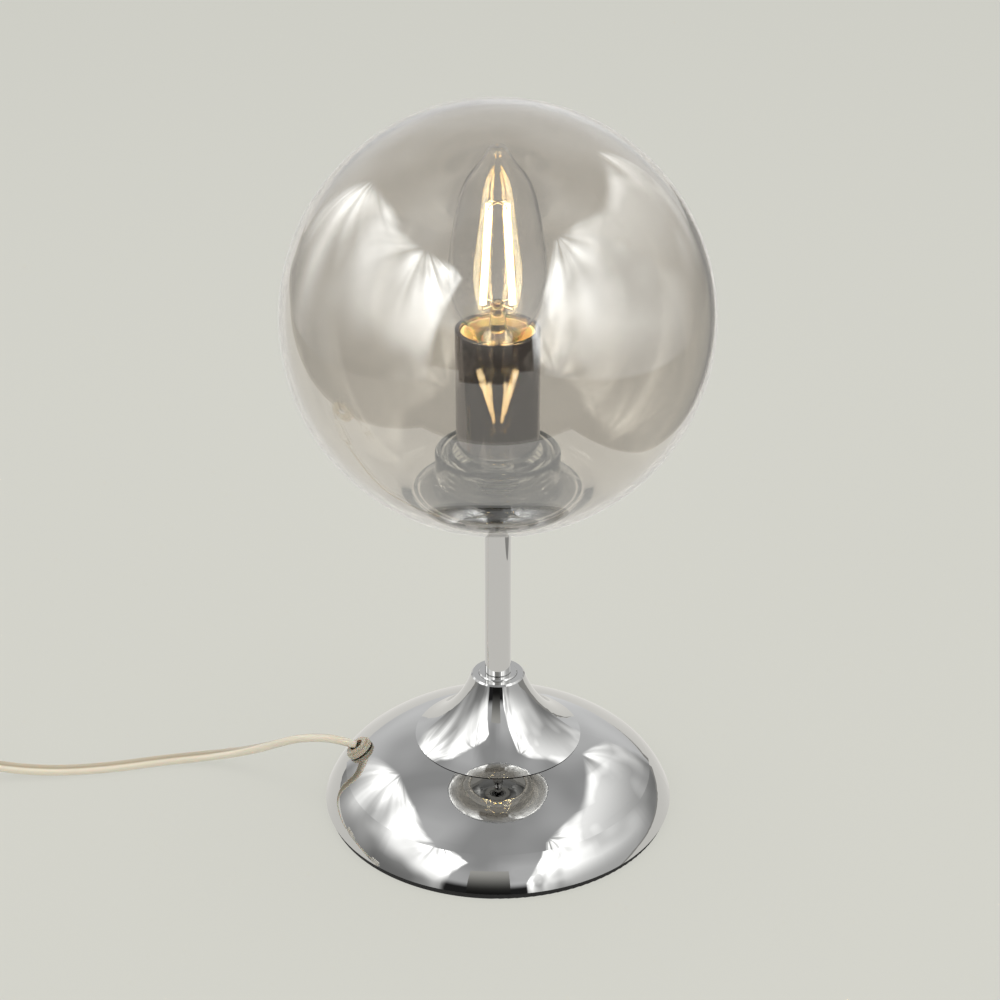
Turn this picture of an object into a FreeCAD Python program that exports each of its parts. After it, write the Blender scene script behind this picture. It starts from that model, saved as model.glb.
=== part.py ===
import FreeCAD
import Part
import math
import os

V = FreeCAD.Vector
UP = V(0, 0, 1)

# Glass globe table lamp, in millimetres. Z points up and the table is z = 0.
# The lamp's axis is the Z axis. The viewer stands on the -Y side, and the mains cord
# leaves the base on the -X side.

# ---- driving dimensions: base ------------------------------------------------------
BASE_R = 68.2            # dome's rim
RIM_Z = 2.9              # dome's rim stands on the pad
PAD_R = 67.2
PAD_HOLE_R = 9.0
SHEET = 1.2              # wall of the spun steel
APEX_Z = 34.9            # dome's top, under the trumpet
FLARE_R = 32.3           # where the trumpet's lip rests on the dome
FLARE_Z = 30.2
SHOULDER_R = 59.9        # where the dome's side starts to drop
SHOULDER_Z = 14.9
WEIGHT_R = 46.0
WEIGHT_TOP = 13.9
COUNTERBORE_R = 11.0
COUNTERBORE_Z = 10.4
LEAD_HOLE_X = -24.0      # where the two leads pass down through the weight
LEAD_BEND = 2.4          # most that a lead's arc takes from each of its runs

# ---- driving dimensions: stem ------------------------------------------------------
NECK_R = 10.4            # trumpet's flat top
NECK_Z = 58.1
TRUMPET_START = 17.0     # degrees from vertical at the trumpet's top
STEP_R = 7.45            # stepped washer in the trumpet's mouth
TUBE_R = 5.0
TUBE_BORE = 4.15
ROD_R = 3.95             # all-thread pipe that clamps the lamp together
ROD_BORE = 2.6
ROD_BOTTOM = 6.2
ROD_TOP = 152.5

# ---- driving dimensions: globe and its seat ----------------------------------------
GLOBE_R = 78.4
GLOBE_Z = 206.5
GLASS = 2.4
SEAT_R = 29.6
SEAT_Z = 137.2           # top face of the seat plate
SEAT_T = 2.6
FOLD_R = 31.4            # where the globe's wall folds in over the seat
NECK_BORE = 21.0         # glass neck that screws over the clear collar
NECK_OUT = 23.4
NECK_TOP = 154.0
COLLAR_ROOT = 20.1
COLLAR_CREST = 20.7
COLLAR_BORE = 16.8
COLLAR_PITCH = 2.6
COLLAR_TURNS = 5

# ---- driving dimensions: lampholder, sleeve and bulb -------------------------------
SLEEVE_R = 15.5
SLEEVE_BORE = 13.7
SLEEVE_FOOT = 157.6
SLEEVE_TOP = 203.0
FOOT_R = 14.4
HOLDER_R = 13.4
HOLDER_TOP = 201.4
HOLDER_MOUTH = 12.3
THREAD_R = 6.95          # E14 cap, over the crests
SHELL_BORE = 7.25
BULB_TIP = 271.5
BULB_R = 17.5
BULB_GLASS = 0.8
CAP_TOP = 198.0
CAP_BOTTOM = 174.5
FILAMENTS = 4
FILAMENT_R = 1.2
FILAMENT_LOW = 214.5
FILAMENT_HIGH = 248.5

# ---- driving dimensions: cord ------------------------------------------------------
CORD_D = 5.4             # flat twin cord, over its width
GROMMET_AT_R = 54.5
GROMMET_AZIMUTH = 176.0
GROMMET_R = 5.4
COIL_MID_D = 56.0
COIL_PITCH = 5.95
COIL_TURNS = 5           # side by side, in two layers
CLIMB_INSET = 1.2        # the climbing half turn is this much tighter
TIE_T = 0.8
COIL_X = -330.0
SWITCH_X = -217.0        # the switch's end that faces the lamp
SWITCH_Y = 12.8
SWITCH_Z = 7.6
SWITCH_L = 60.0
SWITCH_W = 27.0
COIL_OUT = COIL_MID_D / 2 + COIL_PITCH * (COIL_TURNS - 1) / 2
COIL_IN = COIL_OUT - COIL_PITCH * (COIL_TURNS - 1)
COIL_CENTRE_Y = SWITCH_Y - COIL_OUT
COIL_ALL_TURNS = 2 * (COIL_TURNS - 1) + 0.5
SWITCH_TILT = -7.0       # rocker at rest, degrees
PLUG_LEAD = 50.0         # from the coil to the plug
PLUG_ASIDE = 19.0        # the plug lies this much nearer the viewer than the coil's end
PLUG_Z = 6.9
PLUG_L = 23.0            # moulded body, without its tail
PLUG_H = 13.0
PLUG_HALF_W = 12.6
PIN_PITCH = 19.0
PIN_R = 2.0
PIN_L = 19.0

PARTS = {}


def keep(name, shape):
    """Keeps one sub-part under its node's name."""
    PARTS[name] = shape
    return shape


# ---- helpers -----------------------------------------------------------------------
def cyl(r, z0, z1, x=0.0, y=0.0):
    return Part.makeCylinder(r, z1 - z0, V(x, y, z0))


def ring(r_out, r_in, z0, z1):
    return cyl(r_out, z0, z1).cut(cyl(r_in, z0 - 1, z1 + 1))


def block(x0, x1, y0, y1, z0, z1):
    return Part.makeBox(x1 - x0, y1 - y0, z1 - z0, V(x0, y0, z0))


def rz(r, z):
    """A point of a half section: radius and height."""
    return V(r, 0, z)


def arc_from(start, degrees, end):
    """The arc that leaves start at an angle below horizontal and ends at end."""
    a = math.radians(degrees)
    t = V(math.cos(a), 0, -math.sin(a))
    chord = end - start
    side = V(t.z, 0, -t.x)
    radius = chord.Length ** 2 / (2 * chord.dot(side))
    centre = start + side * radius
    mid = (start + end) * 0.5 - centre
    mid.normalize()
    middle = centre + mid * abs(radius)
    return Part.Arc(start, middle, end).toShape()


def spin(edges):
    """Turns a closed half section about the lamp's axis."""
    wire = Part.Wire(Part.__sortEdges__(edges))
    solid = Part.Face(wire).revolve(V(0, 0, 0), UP, 360)
    return solid if solid.Volume > 0 else solid.reversed()


def spin_points(points):
    """Turns a closed polygon of (radius, height) about the axis."""
    pts = [rz(*p) for p in points]
    return spin([Part.makeLine(a, b) for a, b in zip(pts, pts[1:] + pts[:1])])


def hexagon(across, z0, z1):
    """A hexagonal bar on the lamp's axis."""
    r = across / math.sqrt(3)
    pts = [V(r * math.cos(math.radians(60 * i)), r * math.sin(math.radians(60 * i)), z0)
           for i in range(7)]
    return Part.Face(Part.makePolygon(pts)).extrude(V(0, 0, z1 - z0))


def soften(shape, radius, pick):
    """Rounds the edges that pick(edge) names."""
    return shape.makeFillet(radius, [e for e in shape.Edges if pick(e)])


def level(edge, z):
    return abs(edge.BoundBox.ZMin - z) < 1e-4 and abs(edge.BoundBox.ZMax - z) < 1e-4


def group(shapes):
    return Part.makeCompound(shapes)


# ---- base --------------------------------------------------------------------------
def dome_edges(inset):
    """The dome's outline from the axis to the rim, set in by the sheet."""
    top = rz(5.3, APEX_Z - inset)
    flare = rz(FLARE_R - 0.29 * inset, FLARE_Z - 0.96 * inset)
    shoulder = rz(SHOULDER_R - 0.67 * inset, SHOULDER_Z - 0.74 * inset)
    rim = rz(BASE_R - inset, RIM_Z)
    return [arc_from(top, 2.0, flare), arc_from(flare, 16.6, shoulder),
            arc_from(shoulder, 42.0, rim)], top, rim


def dome_z(r):
    """Height of the dome's outside at radius r, between flare and rim."""
    edges, _, _ = dome_edges(0)
    probe = Part.makeLine(V(r, 0, 0), V(r, 0, 60))
    heights = [e.distToShape(probe)[1][0][0].z for e in edges if e.distToShape(probe)[0] < 1e-6]
    return heights[0]


def base():
    pad = cyl(PAD_R, 0, RIM_Z).cut(cyl(PAD_HOLE_R, -1, RIM_Z + 1))
    keep("base_pad", soften(pad, 0.5, lambda e: level(e, 0)))

    outer, top, rim = dome_edges(0)
    inner, top_in, rim_in = dome_edges(SHEET)
    shell = spin(outer + inner + [Part.makeLine(top, top_in), Part.makeLine(rim, rim_in)])
    keep("base_dome", shell.cut(grommet_hole()))

    weight = cyl(WEIGHT_R, RIM_Z, WEIGHT_TOP).cut(cyl(ROD_R + 0.2, 0, 20))
    weight = soften(weight, 1.5, lambda e: level(e, WEIGHT_TOP) and e.Length > 100)
    weight = weight.cut(cyl(COUNTERBORE_R, 0, COUNTERBORE_Z))
    weight = weight.cut(cyl(3.3, 0, 20, LEAD_HOLE_X, 0))
    weight = weight.cut(block(LEAD_HOLE_X, 0, -3.2, 3.2, 0, ROD_BOTTOM - 0.1))
    keep("base_weight", weight)

    keep("base_spacer", ring(7.5, ROD_R + 0.2, WEIGHT_TOP, APEX_Z - SHEET - 0.25))
    keep("bottom_washer", ring(9.5, ROD_R + 0.2, 9.4, COUNTERBORE_Z))
    keep("bottom_nut", hexagon(13, 6.4, 9.4).cut(cyl(ROD_R + 0.05, 0, 20)))


def trumpet():
    """The flared cover between dome and stem, its mouth washer and the stem."""
    lip = rz(FLARE_R, FLARE_Z + 0.3)
    lip_in = rz(FLARE_R - 1.1, FLARE_Z + 0.8)
    top = rz(NECK_R, NECK_Z - 0.6)
    top_in = rz(NECK_R - 1.0, NECK_Z - 1.0)
    mouth = rz(STEP_R + 0.1, NECK_Z)
    mouth_in = rz(STEP_R + 0.1, NECK_Z - 1.0)
    crown = rz(NECK_R - 0.6, NECK_Z)
    down = 90 - TRUMPET_START
    keep("trumpet_cone", spin([
        arc_from(top, down, lip), Part.makeLine(lip, lip_in), arc_from(top_in, down, lip_in),
        Part.makeLine(top_in, mouth_in), Part.makeLine(mouth_in, mouth),
        Part.makeLine(mouth, crown), Part.makeLine(crown, top)]))
    # A flanged washer closes the mouth from below and carries the tube.
    keep("mouth_washer", spin_points([
        (ROD_R + 0.15, NECK_Z - 2.6), (9.0, NECK_Z - 2.6), (9.0, NECK_Z - 1.1),
        (STEP_R, NECK_Z - 1.1), (STEP_R, NECK_Z + 0.2), (STEP_R - 0.4, NECK_Z + 0.6),
        (ROD_R + 0.15, NECK_Z + 0.6)]))
    # An inner sleeve takes the clamping force from the washer to the dome.
    keep("clamp_sleeve", ring(6.5, ROD_R + 0.2, APEX_Z, NECK_Z - 2.6))
    tube = ring(TUBE_R, TUBE_BORE, NECK_Z + 0.6, SEAT_Z - SEAT_T)
    keep("stem_tube", soften(tube, 0.4, lambda e: level(e, NECK_Z + 0.6) and e.Length > 30))
    keep("threaded_rod", ring(ROD_R, ROD_BORE, ROD_BOTTOM, ROD_TOP))


# ---- seat, clear collar and globe ---------------------------------------------------
def seat():
    plate = ring(SEAT_R, ROD_R + 0.15, SEAT_Z - SEAT_T, SEAT_Z)
    keep("seat_plate", soften(plate, 0.9, lambda e: e.Length > 150))
    # Clear collar: floor, wall and ring-shaped thread crests.
    wall = [(ROD_R + 0.15, SEAT_Z), (COLLAR_ROOT, SEAT_Z)]
    z = SEAT_Z + 2.0
    for _ in range(COLLAR_TURNS):
        wall += [(COLLAR_ROOT, z), (COLLAR_CREST, z + 0.6),
                 (COLLAR_CREST, z + 1.1), (COLLAR_ROOT, z + 1.7)]
        z += COLLAR_PITCH
    wall += [(COLLAR_ROOT, NECK_TOP - 0.9), (COLLAR_ROOT - 0.8, NECK_TOP - 0.1),
             (COLLAR_BORE, NECK_TOP - 0.1), (COLLAR_BORE, SEAT_Z + 2.4),
             (ROD_R + 0.15, SEAT_Z + 2.4)]
    keep("threaded_collar", spin_points(wall))
    nut_top = SEAT_Z + 2.4 + 4.0
    keep("seat_nut", hexagon(14, SEAT_Z + 2.4, nut_top).cut(cyl(ROD_R + 0.05, 0, 200)))
    keep("holder_standoff", ring(7.0, ROD_R + 0.15, nut_top, SLEEVE_FOOT - 3.4))


def sphere_arc(radius, a, b):
    """An arc of the globe's section between two elevations, in degrees."""
    def at(degrees):
        m = math.radians(degrees)
        return rz(radius * math.cos(m) if degrees < 90 else 0, GLOBE_Z + radius * math.sin(m))

    return Part.Arc(at(a), at((a + b) / 2), at(b)).toShape()


def globe():
    """Blown sphere, open at the bottom, and the neck fused into it: a shelf over the seat
    and the tube that stands inside and screws over the collar."""
    inner_r = GLOBE_R - GLASS
    shelf = SEAT_Z + 0.3
    shelf_top = shelf + GLASS
    low = GLOBE_Z - math.sqrt(GLOBE_R ** 2 - FOLD_R ** 2)
    low_deg = math.degrees(math.asin((low - GLOBE_Z) / GLOBE_R))
    in_deg = math.degrees(math.asin((shelf_top - GLOBE_Z) / inner_r))
    fold = rz(FOLD_R, low)
    inner_foot = rz(inner_r * math.cos(math.radians(in_deg)), shelf_top)
    keep("globe_glass", spin([
        sphere_arc(GLOBE_R, 90, 0), sphere_arc(GLOBE_R, 0, low_deg),
        Part.makeLine(fold, inner_foot),
        sphere_arc(inner_r, in_deg, 0), sphere_arc(inner_r, 0, 90),
        Part.makeLine(rz(0, GLOBE_Z + inner_r), rz(0, GLOBE_Z + GLOBE_R))]))

    fold_up = rz(FOLD_R - 1.0, shelf)
    shelf_in = rz(NECK_BORE, shelf)
    lip_z = NECK_TOP - (NECK_OUT - NECK_BORE) / 2
    bore_top = rz(NECK_BORE, lip_z)
    neck_out = rz(NECK_OUT, lip_z)
    root = rz(NECK_OUT, shelf_top + 1.5)
    root_out = rz(NECK_OUT + 1.5, shelf_top)
    keep("globe_neck", spin([
        Part.Arc(fold, rz(FOLD_R + 0.1, (low + shelf) / 2 - 0.4), fold_up).toShape(),
        Part.makeLine(fold_up, shelf_in), Part.makeLine(shelf_in, bore_top),
        Part.Arc(bore_top, rz((NECK_BORE + NECK_OUT) / 2, NECK_TOP), neck_out).toShape(),
        Part.makeLine(neck_out, root),
        Part.Arc(root, rz(NECK_OUT + 0.44, shelf_top + 0.44), root_out).toShape(),
        Part.makeLine(root_out, inner_foot), Part.makeLine(inner_foot, fold)]))


# ---- lampholder and candle sleeve ---------------------------------------------------
def lampholder():
    foot_low = SLEEVE_FOOT - 3.4
    foot = ring(FOOT_R, ROD_BORE + 1.0, foot_low, SLEEVE_FOOT - 0.1)
    keep("holder_foot", soften(foot, 0.5, lambda e: level(e, foot_low) and e.Length > 60))
    sleeve = ring(SLEEVE_R, SLEEVE_BORE, SLEEVE_FOOT, SLEEVE_TOP)
    keep("candle_sleeve", soften(sleeve, 0.6, lambda e: level(e, SLEEVE_TOP)))

    body = cyl(HOLDER_R, SLEEVE_FOOT, HOLDER_TOP)
    body = body.cut(cyl(HOLDER_R - 2.4, SLEEVE_FOOT - 1, SLEEVE_FOOT + 9.4))
    body = body.cut(cyl(SHELL_BORE + 0.55, SLEEVE_FOOT + 12.4, HOLDER_TOP + 1))
    body = body.cut(cyl(HOLDER_MOUTH, HOLDER_TOP - 8.4, HOLDER_TOP + 1))
    for side in (-1, 1):
        body = body.cut(cyl(1.6, SLEEVE_FOOT, SLEEVE_FOOT + 20, 0, side * 5.0))
    keep("holder_body", body)

    shell_low = SLEEVE_FOOT + 14.0
    shell_top = HOLDER_TOP - 8.6
    keep("e14_shell", ring(SHELL_BORE + 0.4, SHELL_BORE, shell_low, shell_top))
    centre = block(-1.8, 1.8, -6.0, 3.0, SLEEVE_FOOT + 12.5, SLEEVE_FOOT + 13.1)
    button = cyl(1.8, SLEEVE_FOOT + 13.1, CAP_BOTTOM - 0.15)
    keep("centre_contact", centre.fuse(button))
    keep("side_contact", block(-1.8, 1.8, 5.4, 6.2, SLEEVE_FOOT + 12.5, SLEEVE_FOOT + 13.9)
         .fuse(block(-1.8, 1.8, 4.4, 6.2, SLEEVE_FOOT + 12.5, SLEEVE_FOOT + 12.9)))
    screws = []
    for side in (-1, 1):
        post = cyl(1.45, SLEEVE_FOOT + 8.6, SLEEVE_FOOT + 12.4, 0, side * 5.0)
        screws.append(post.fuse(cyl(2.4, SLEEVE_FOOT + 7.0, SLEEVE_FOOT + 8.6, 0, side * 5.0)))
    keep("holder_screws", group(screws))


# ---- bulb ----------------------------------------------------------------------------
BULB_OUTLINE = [(7.6, 197.6), (9.2, 201.0), (14.2, 208.8), (17.2, 217.5), (17.4, 230.0),
                (15.0, 246.0), (10.4, 259.8), (4.2, 268.6)]


def bulb_curve(inset):
    tip = rz(0, BULB_TIP - 1.3 * inset)
    pts = [rz(r - inset, z) for r, z in BULB_OUTLINE] + [tip]
    curve = Part.BSplineCurve()
    start = V(0.35, 0, 1)
    curve.interpolate(Points=pts, InitialTangent=start, FinalTangent=V(-1, 0, 0))
    return curve.toShape(), pts[0], pts[-1]


def bulb():
    outer, foot, tip = bulb_curve(0)
    inner, foot_in, tip_in = bulb_curve(BULB_GLASS)
    keep("bulb_glass", spin([outer, inner, Part.makeLine(foot, foot_in),
                             Part.makeLine(tip, tip_in)]))

    # Cap with ring-shaped thread crests, over a core and an insulator.
    thread_low = CAP_BOTTOM + 4.2
    outline = [(5.7, thread_low)]
    z = thread_low
    while z < CAP_TOP - 6.0:
        outline += [(THREAD_R - 0.45, z + 0.7), (THREAD_R, z + 1.41), (THREAD_R - 0.45, z + 2.12)]
        z += 2.82
    outline += [(THREAD_R - 0.5, z + 0.6), (THREAD_R - 0.5, 195.6), (8.9, 196.4),
                (8.9, 200.4), (8.5, 200.4), (8.3, 197.2), (5.7, 195.0)]
    # The collar of the cap grips the glass from outside.
    cap = spin_points(outline).cut(spin([outer, Part.makeLine(foot, rz(0, foot.z)),
                                         Part.makeLine(rz(0, foot.z), tip)]))
    keep("bulb_cap", biggest(cap))
    keep("bulb_insulator", spin_points([
        (2.6, CAP_BOTTOM + 0.6), (3.4, CAP_BOTTOM + 0.6), (5.6, CAP_BOTTOM + 4.2),
        (5.6, CAP_BOTTOM + 6.4), (2.6, CAP_BOTTOM + 6.4)]))
    tip_contact = cyl(2.5, CAP_BOTTOM, CAP_BOTTOM + 6.4)
    keep("bulb_tip_contact", soften(tip_contact, 1.2, lambda e: level(e, CAP_BOTTOM)))
    # Glass stem with its pinch, and the exhaust tube inside.
    stem_low = 198.2
    keep("bulb_stem", spin_points([
        (0, stem_low), (6.2, stem_low), (5.6, 200.2), (3.2, 203.5), (2.7, 211.0),
        (1.9, 213.4), (0, 213.4)]))


def filament_ends(i):
    a = math.radians(45 + 360 / FILAMENTS * i)
    low = V(7.4 * math.cos(a), 7.4 * math.sin(a), FILAMENT_LOW)
    high = V(4.4 * math.cos(a), 4.4 * math.sin(a), FILAMENT_HIGH)
    return low, high


def rod_between(a, b, r):
    return Part.makeCylinder(r, (b - a).Length, a, b - a)


def filaments():
    strips, feet, crown = [], [], []
    hub_top = V(0, 0, FILAMENT_HIGH + 2.2)
    for i in range(FILAMENTS):
        low, high = filament_ends(i)
        along = (high - low) * (1 / (high - low).Length)
        strips.append(rod_between(low, high, FILAMENT_R))
        out = V(low.x, low.y, 0)
        out.normalize()
        wire_foot = low - along * 2.2
        feet.append(rod_between(wire_foot, low, 0.3))
        feet.append(rod_between(V(0, 0, wire_foot.z) + out * 2.4, wire_foot, 0.3))
        crown.append(rod_between(high, high + along * 1.6, 0.3))
        crown.append(rod_between(high + along * 1.6, hub_top, 0.3))
    keep("filament_strips", group(strips))
    lower = feet[0]
    for piece in feet[1:]:
        lower = lower.fuse(piece)
    keep("filament_feet", lower.cut(PARTS["bulb_stem"]))
    upper = Part.makeSphere(0.7, hub_top)
    for piece in crown:
        upper = upper.fuse(piece)
    keep("filament_crown", upper)


def biggest(shape):
    return max(shape.Solids, key=lambda s: s.Volume)


# ---- wires and cords ----------------------------------------------------------------
def tangent(a, b):
    t = b - a
    t.normalize()
    return t


def route_edges(points, label=None, tight=1e9):
    """Straight runs joined by arcs, each as large as its runs or the tight limit allow."""
    edges, at, radii = [], points[0], []
    for a, b, c in zip(points, points[1:], points[2:]):
        t0, t1 = tangent(a, b), tangent(b, c)
        half = t0.getAngle(t1) / 2
        cut = min(0.45 * min((b - a).Length, (c - b).Length), tight)
        radii.append(cut / math.tan(half))
        start, end = b - t0 * cut, b + t1 * cut
        inward = t1 - t0
        inward.normalize()
        depth = radii[-1] * (1 / math.cos(half) - 1)
        edges.append(Part.makeLine(at, start))
        edges.append(Part.Arc(start, b + inward * depth, end).toShape())
        at = end
    edges.append(Part.makeLine(at, points[-1]))
    if label:
        print(label, "radii", " ".join("%.0f" % r for r in radii))
    return edges


def pipe(edges, r):
    """A round tube along edges that follow each other without a corner."""
    wire = Part.Wire(edges)
    first = edges[0]
    normal = first.tangentAt(first.FirstParameter)
    section = Part.Wire(Part.makeCircle(r, first.valueAt(first.FirstParameter), normal))
    solid = wire.makePipeShell([section], True, False)
    return solid, wire


def report(label, solid, wire, r):
    whole = math.pi * r * r * wire.Length
    print(label, "length %.0f" % wire.Length, "volume/section*length %.3f" % (solid.Volume / whole),
          "valid", solid.isValid())


def biarc(p0, t0, p1, t1):
    """Two arcs that join p0 to p1 with the given unit tangents."""
    v = p1 - p0
    t = t0 + t1
    a = 2 * (1 - t0.dot(t1))
    b = v.dot(t)
    if a < 1e-9:
        d = v.dot(v) / (4 * v.dot(t1))
    else:
        d = (-b + math.sqrt(b * b + a * v.dot(v))) / a
    q0, q1 = p0 + t0 * d, p1 - t1 * d
    joint = (q0 + q1) * 0.5
    return [tip_arc(p0, q0, joint), tip_arc(joint, q1, p1)]


def tip_arc(a, tip, b):
    """The arc from a to b whose end tangents meet at tip."""
    t0, t1 = tangent(a, tip), tangent(tip, b)
    half = t0.getAngle(t1) / 2
    if half < 1e-5:
        return Part.makeLine(a, b)
    cut = (tip - a).Length
    inward = t1 - t0
    inward.normalize()
    depth = cut / math.tan(half) * (1 / math.cos(half) - 1)
    return Part.Arc(a, tip + inward * depth, b).toShape()


def grommet_frame():
    a = math.radians(GROMMET_AZIMUTH)
    z = dome_z(GROMMET_AT_R)
    rise = dome_z(GROMMET_AT_R - 1) - dome_z(GROMMET_AT_R + 1)
    out = V(math.cos(a), math.sin(a), 0)
    normal = out * rise + V(0, 0, 2)
    normal.normalize()
    return V(0, 0, z) + out * GROMMET_AT_R, normal


def grommet_hole():
    centre, normal = grommet_frame()
    return Part.makeCylinder(4.15, 12, centre - normal * 6, normal)


CORD_ROUTE = [(-63.5, 4.6, 23.9), (-72.4, 5.6, 24.2), (-81.8, 9.6, 20.6), (-93.2, 16.0, 12.8),
              (-106.0, 21.6, 6.3), (-120.4, 24.4, 2.9), (-137.6, 22.6, 2.7), (-157.0, 17.6, 2.7),
              (-178.0, 14.8, 2.7), (-196.0, 13.4, 4.2), (-207.6, 12.8, 7.0)]


def grommet_and_cord():
    centre, normal = grommet_frame()

    def disc(r, a, b):
        return Part.makeCylinder(r, b - a, centre + normal * a, normal)

    body = disc(4.05, -3.2, 1.0).fuse(disc(GROMMET_R, 0.25, 1.85)).fuse(disc(4.7, -3.4, -1.9))
    body = body.fuse(disc(GROMMET_R - 0.9, 1.85, 3.1)).removeSplitter()
    body = body.cut(disc(CORD_D / 2 + 0.15, -6, 6))
    keep("cord_grommet", body)

    exit_point = centre + normal * 3.1
    print("cord exit", exit_point)
    points = [exit_point] + [V(*p) for p in CORD_ROUTE] + [V(SWITCH_X, SWITCH_Y, SWITCH_Z)]
    solid, wire = pipe(route_edges(points, "cord_run"), CORD_D / 2)
    report("cord_run", solid, wire, CORD_D / 2)
    keep("cord_run", solid)
    return wire.Length


def base_wiring():
    """Inside the base: jacketed tail, saddle, terminal block and the two leads."""
    tail_z = WEIGHT_TOP + 2.75
    centre, normal = grommet_frame()
    start = centre - normal * 1.9 + V(0.6, 0, 0)
    tail = [start, V(-47.6, 3.0, tail_z), V(-39.0, 1.6, tail_z)]
    solid, wire = pipe(route_edges(tail), 2.0)
    keep("cord_tail", solid)
    saddle = block(-45.0, -41.0, -6.5, 10.5, WEIGHT_TOP, WEIGHT_TOP + 1.4)
    arch = block(-45.0, -41.0, -1.5, 5.7, WEIGHT_TOP, WEIGHT_TOP + 6.2)
    saddle = saddle.fuse(arch).cut(block(-46, -40, -0.2, 4.9, WEIGHT_TOP - 1, WEIGHT_TOP + 5.0))
    for y in (-4.2, 8.4):
        saddle = saddle.cut(cyl(1.3, 0, 40, -43.0, y))
    keep("cord_saddle", saddle)
    screws = []
    for y in (-4.2, 8.4):
        shank = cyl(1.2, WEIGHT_TOP + 0.05, WEIGHT_TOP + 1.5, -43.0, y)
        screws.append(shank.fuse(cyl(2.1, WEIGHT_TOP + 1.45, WEIGHT_TOP + 2.9, -43.0, y)))
    keep("saddle_screws", group(screws))

    body = block(-39.0, -27.5, -7.0, 7.0, WEIGHT_TOP + 0.05, WEIGHT_TOP + 7.6)
    for y in (-3.4, 3.4):
        body = body.cut(cyl(1.5, WEIGHT_TOP + 3.6, 40, -35.6, y))
        body = body.cut(cyl(1.5, WEIGHT_TOP + 3.6, 40, -30.6, y))
    keep("terminal_block", body)
    keep("terminal_screws", group([
        cyl(1.4, WEIGHT_TOP + 3.8, WEIGHT_TOP + 6.4, x, y) for x in (-35.6, -30.6)
        for y in (-3.4, 3.4)]))

    top_z = SLEEVE_FOOT + 4.0
    for name, side in (("lead_live", -1), ("lead_neutral", 1)):
        y = side * 1.25
        lead_z = WEIGHT_TOP + 2.6
        points = [V(-27.3, y, lead_z), V(LEAD_HOLE_X, y, lead_z), V(LEAD_HOLE_X, y, 4.15),
                  V(0.0, y, 4.15), V(0.0, y, top_z - 6),
                  V(0.0, side * 5.0, top_z), V(0.0, side * 5.0, SLEEVE_FOOT + 6.9)]
        solid, wire = pipe(route_edges(points, name, LEAD_BEND), 0.9)
        report(name, solid, wire, 0.9)
        keep(name, solid)


def least_gap(wire, r, skip):
    """Least distance between stretches of a tube that lie further apart along it than skip."""
    step = 2.0
    pts = wire.discretize(Distance=step)
    apart = int(skip / step)
    least = 1e9
    for i, p in enumerate(pts):
        for q in pts[i + apart:]:
            gap = (p - q).Length
            if gap < least:
                least = gap
    return least - 2 * r


def coil_point(turn):
    """Centreline of the coil after so many turns: in below, half a turn up, out above."""
    low = TIE_T + 0.15 + CORD_D / 2
    rise = COIL_PITCH
    span = COIL_TURNS - 1
    if turn <= span:
        r, z = COIL_OUT - COIL_PITCH * turn, low
    elif turn <= span + 0.5:
        s = (turn - span) * 2
        r = COIL_IN - CLIMB_INSET * math.sin(math.pi * s)
        z = low + rise * (3 * s * s - 2 * s ** 3)
    else:
        r, z = COIL_IN + COIL_PITCH * (turn - span - 0.5), low + rise
    a = math.radians(90 + 360 * turn)
    return V(COIL_X + r * math.cos(a), COIL_CENTRE_Y + r * math.sin(a), z)


def coil_tangent(turn):
    h = 1e-4
    return tangent(coil_point(max(0, turn - h)), coil_point(turn + h))


def cord_coil():
    """Switch to plug: lead, the turns of the coil, and the plug's lead, one tube."""
    entry = V(SWITCH_X - SWITCH_L, SWITCH_Y, SWITCH_Z)
    ahead = V(-1, 0, 0)
    stub = entry + ahead * CORD_D
    first = coil_point(0)
    edges = [Part.makeLine(entry, stub)] + biarc(stub, ahead, first, ahead)
    quarter = 0.25
    steps = int(round(COIL_ALL_TURNS / quarter))
    here, heading = first, ahead
    for i in range(1, steps + 1):
        there = coil_point(i * quarter)
        turned = coil_tangent(i * quarter) if i < steps else V(1, 0, 0)
        edges += biarc(here, heading, there, turned)
        here, heading = there, turned
    plug_at = V(here.x + PLUG_LEAD, here.y - PLUG_ASIDE, PLUG_Z)
    last = plug_at - V(CORD_D, 0, 0)
    edges += biarc(here, heading, last, V(1, 0, 0))
    edges.append(Part.makeLine(last, plug_at))
    solid, wire = pipe(edges, CORD_D / 2)
    report("cord_coil", solid, wire, CORD_D / 2)
    print("coil least gap %.2f" % least_gap(wire, CORD_D / 2, 60))
    keep("cord_coil", solid)
    return wire.Length, plug_at


def coil_tie():
    """A strap round the turns, on the coil's far side."""
    r_in = COIL_IN - CLIMB_INSET - CORD_D / 2 - 0.8
    r_out = COIL_OUT + CORD_D / 2 + 0.6
    top = TIE_T + 0.15 + CORD_D + COIL_PITCH + 0.3
    strap = block(-r_out - TIE_T, -r_in + TIE_T, -4, 4, 0.05, top + TIE_T)
    strap = strap.cut(block(-r_out, -r_in, -5, 5, TIE_T + 0.05, top))
    strap.translate(V(COIL_X, COIL_CENTRE_Y, 0))
    keep("coil_tie", strap)


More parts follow.
